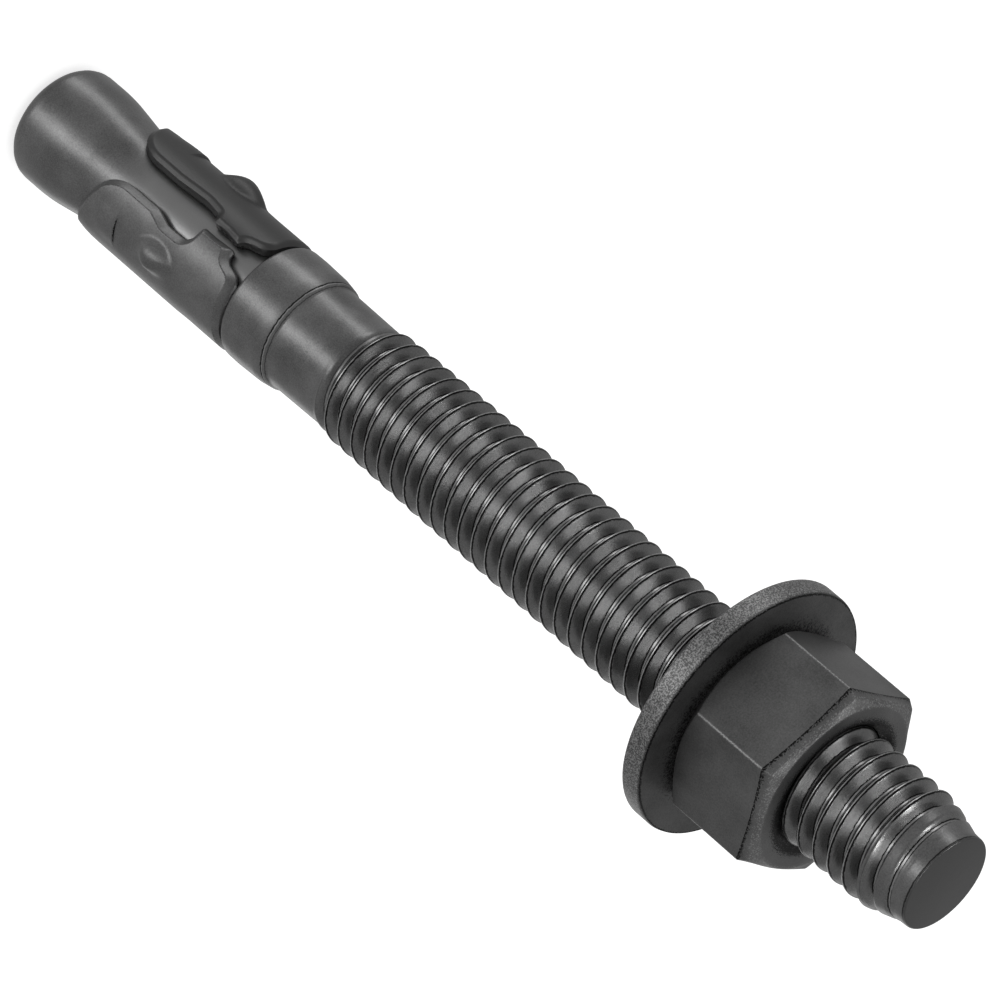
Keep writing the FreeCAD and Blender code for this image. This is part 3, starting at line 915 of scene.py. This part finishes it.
nut_thread_r = CREST_R + THREAD_GAP
nut_helix = helix_start + math.floor((NUT_BASE - helix_start) / PITCH - 1.0) * PITCH
nut_thread = thread_mesh({
    "Pitch": PITCH, "Helix Start": nut_helix, "From": NUT_BASE + NUT_SINK_DEPTH,
    "To": NUT_TOP - NUT_SINK_DEPTH, "Crest Radius": nut_thread_r,
    "Root Radius": ROOT_R + THREAD_GAP + 0.15, "Plain Radius": nut_thread_r, "Fade": 1.0,
    "Soft Crest": nut_thread_r, "Soft To": NUT_TOP, "Cone From": NUT_TOP,
    "Cone Top Radius": nut_thread_r,
}, {
    "Cone Slope": 0.0, "Segments": STUD_SEGMENTS, "Rows": NUT_THREAD_ROWS,
    "Turns": math.ceil((NUT_TOP - NUT_BASE) / PITCH) + 2, "Material": nut_finish,
})
nut_mesh = joined(nut_mesh, nut_thread)
# cones from the thread out to the bore's edge, at both faces
for low, high in ((NUT_BASE, NUT_BASE + NUT_SINK_DEPTH), (NUT_TOP - NUT_SINK_DEPTH, NUT_TOP)):
    open_edges = [side for side in nut_mesh.edges if side.is_boundary
                  and all(low - 0.1 < vert.co.z / MM < high + 0.1 for vert in side.verts)]
    bmesh.ops.bridge_loops(nut_mesh, edges=open_edges)
nut_score_and_shade = nut_mesh.verts.layers.float["score_and_shade"]
# painted shade inside the bore: the sunk cones and the thread are painted dark
for vert in nut_mesh.verts:
    if vert.co.xy.length < (NUT_SINK_R - 0.1) * MM:
        vert[nut_score_and_shade] = NUT_THREAD_SHADE
nut_piece = finished(nut_mesh, "forged_nut", nut_finish)
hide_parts("hex_nut")
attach(nut_piece, "nut")


# Floor, light and camera
# A plain pale floor that glows a little so that it renders evenly, soft panels of light and the
# photograph's viewing angle. Sizes are in metres here.
floor_mesh = bmesh.new()
bmesh.ops.create_grid(floor_mesh, x_segments=1, y_segments=1, size=4.0)
floor_material = bpy.data.materials.new("pale floor")
floor_material.use_nodes = True
floor_shader = floor_material.node_tree.nodes["Principled BSDF"]
floor_shader.inputs["Base Color"].default_value = linear("D8D8D8")
floor_shader.inputs["Roughness"].default_value = 0.9
floor_shader.inputs["Emission Color"].default_value = linear("FFFFFF")
floor_shader.inputs["Emission Strength"].default_value = 0.7
floor_material.cycles.emission_sampling = "NONE"
floor = finished(floor_mesh, "floor", floor_material)
floor.visible_glossy = False
floor.visible_shadow = False
floor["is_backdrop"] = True

world = bpy.data.worlds.new("soft room")
world.use_nodes = True
room = world.node_tree.nodes["Background"]
room.inputs["Color"].default_value = linear("FFFFFF")
room.inputs["Strength"].default_value = 0.45
bpy.context.scene.world = world
bpy.context.scene.view_settings.view_transform = "Standard"


def added(name, data):
    """an object in the scene for a light or a camera"""
    made = bpy.data.objects.new(name, data)
    bpy.context.scene.collection.objects.link(made)
    return made


PANEL_DISTANCE = 0.5
STUD_MIDDLE = Vector((0.0, 0.0, 0.065))


def panel(name, azimuth, elevation, width, height, radiance, shadow=True):
    """a panel of light that faces the middle of the stud and shows only in its gloss"""
    light = bpy.data.lights.new(name, "AREA")
    light.shape = "RECTANGLE"
    light.size = width
    light.size_y = height
    light.energy = radiance * width * height * math.pi
    light.use_shadow = shadow
    lamp = added(name, light)
    across, up = math.radians(azimuth), math.radians(elevation)
    away = Vector((math.cos(across) * math.cos(up), math.sin(across) * math.cos(up), math.sin(up)))
    lamp.location = away * PANEL_DISTANCE + STUD_MIDDLE
    lamp.rotation_euler = away.to_track_quat("Z", "Y").to_euler()
    lamp.visible_camera = False
    lamp.visible_diffuse = False


# the strips give the bright bands along the stud, and the small upper panels the thread's flanks
panel("right strip", -165.0, -20.0, 0.11, 0.6, 2.6)
panel("left strip", -74.0, -20.0, 0.15, 0.6, 2.75)
panel("upper right panel", 159.0, 63.0, 0.06, 0.06, 26.0, shadow=False)
panel("upper left panel", -15.0, 83.0, 0.06, 0.06, 24.0, shadow=False)
panel("back strip", 60.0, -10.0, 0.15, 0.6, 0.8)

ceiling = bpy.data.lights.new("ceiling panel", "AREA")
ceiling.shape = "SQUARE"
ceiling.size = 1.6
ceiling.energy = 7.0
ceiling_lamp = added("ceiling panel", ceiling)
ceiling_lamp.location = (0.0, 0.1, 1.3)
ceiling_lamp.visible_camera = False
ceiling_lamp.visible_glossy = False

# a long lens whose focal length is six frame widths
FRAME_WIDTH = 36.0
FOCAL_WIDTHS = 5.99228
CAMERA_PLACE = Vector((0.0, -0.486, 0.3529))
CAMERA_RIGHT = Vector((-0.65288, 0.38354, 0.65318))
CAMERA_UP = Vector((-0.75746, -0.33058, -0.56300))
CAMERA_BACK = Vector((0.0, -0.86233, 0.50635))
camera_data = bpy.data.cameras.new("camera")
camera_data.sensor_width = FRAME_WIDTH
camera_data.lens = FRAME_WIDTH * FOCAL_WIDTHS
camera_data.clip_start = 0.05
camera_data.clip_end = 20.0
camera = added("camera", camera_data)
turn = Matrix((CAMERA_RIGHT, CAMERA_UP, CAMERA_BACK)).transposed().to_4x4()
camera.matrix_world = Matrix.Translation(CAMERA_PLACE) @ turn
bpy.context.scene.camera = camera

low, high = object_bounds()
